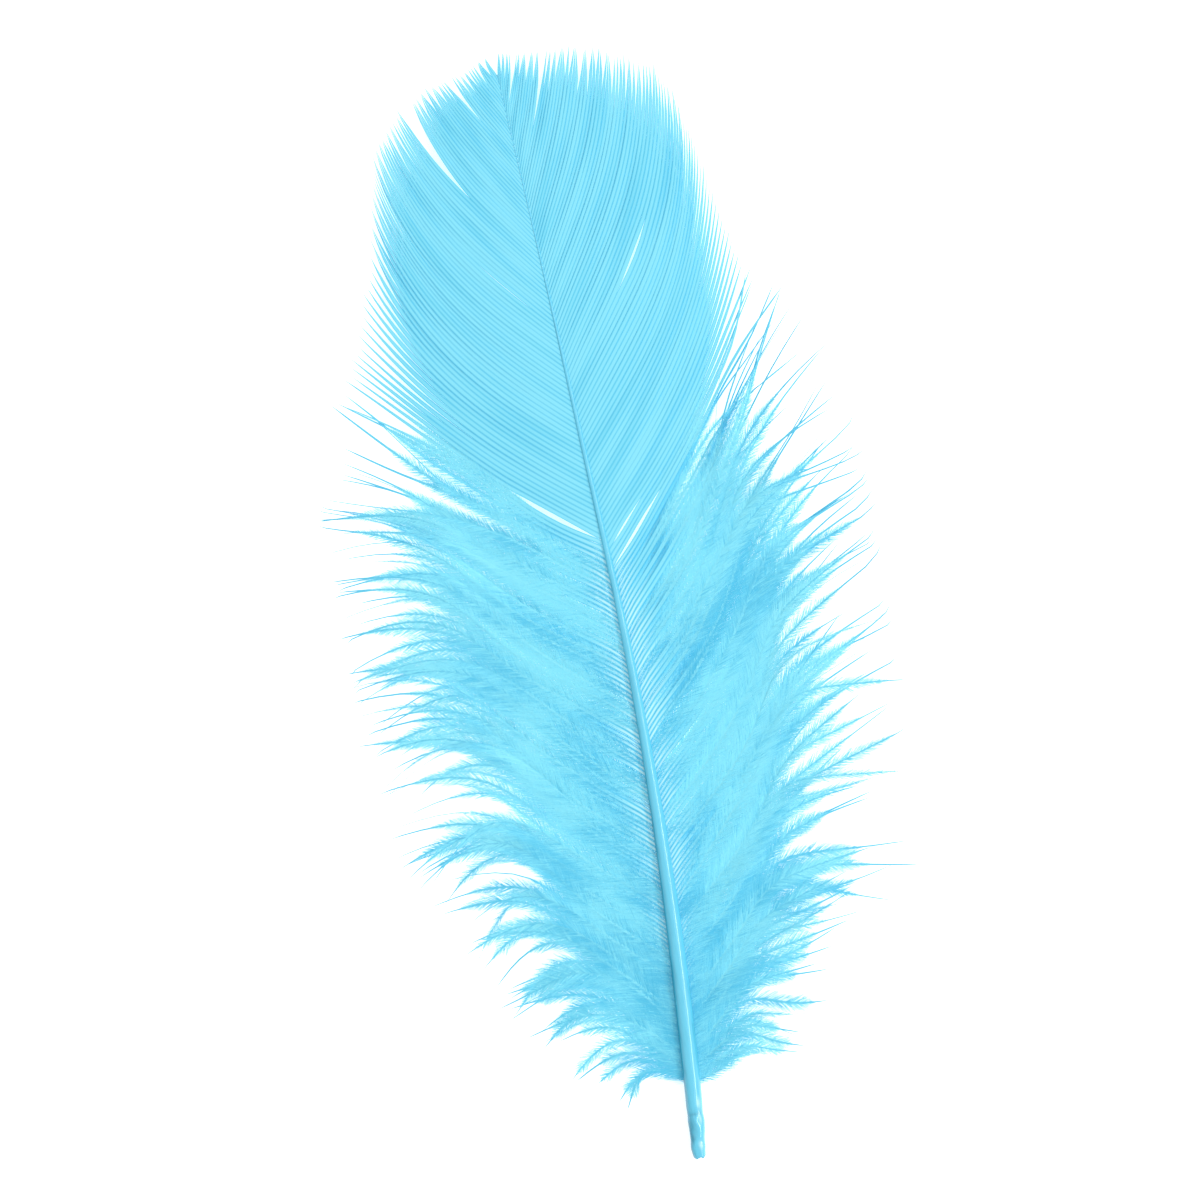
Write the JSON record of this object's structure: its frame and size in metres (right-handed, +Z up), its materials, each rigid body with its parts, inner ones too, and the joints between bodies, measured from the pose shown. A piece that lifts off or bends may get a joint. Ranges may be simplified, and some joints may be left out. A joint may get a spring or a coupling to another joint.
{
  "type": "turkey feather",
  "caption": "Dyed light blue turkey plume: bare quill, tapering shaft, webbed upper vane and soft downy lower half, lying flat.",
  "frame": {"origin": "on the table under the middle of the feather's bounding box", "axes": "+Y along the feather from the cut end of the quill to the tip, +X to the right seen from above, +Z up from the table, smooth upper side of the feather up"},
  "size_m": [0.0728, 0.15, 0.0063],
  "materials": {
    "feather": "soft satin barbs, dyed light blue"
  },
  "bodies": {
    "root": {"feather": "feather"}
  },
  "joints": []
}
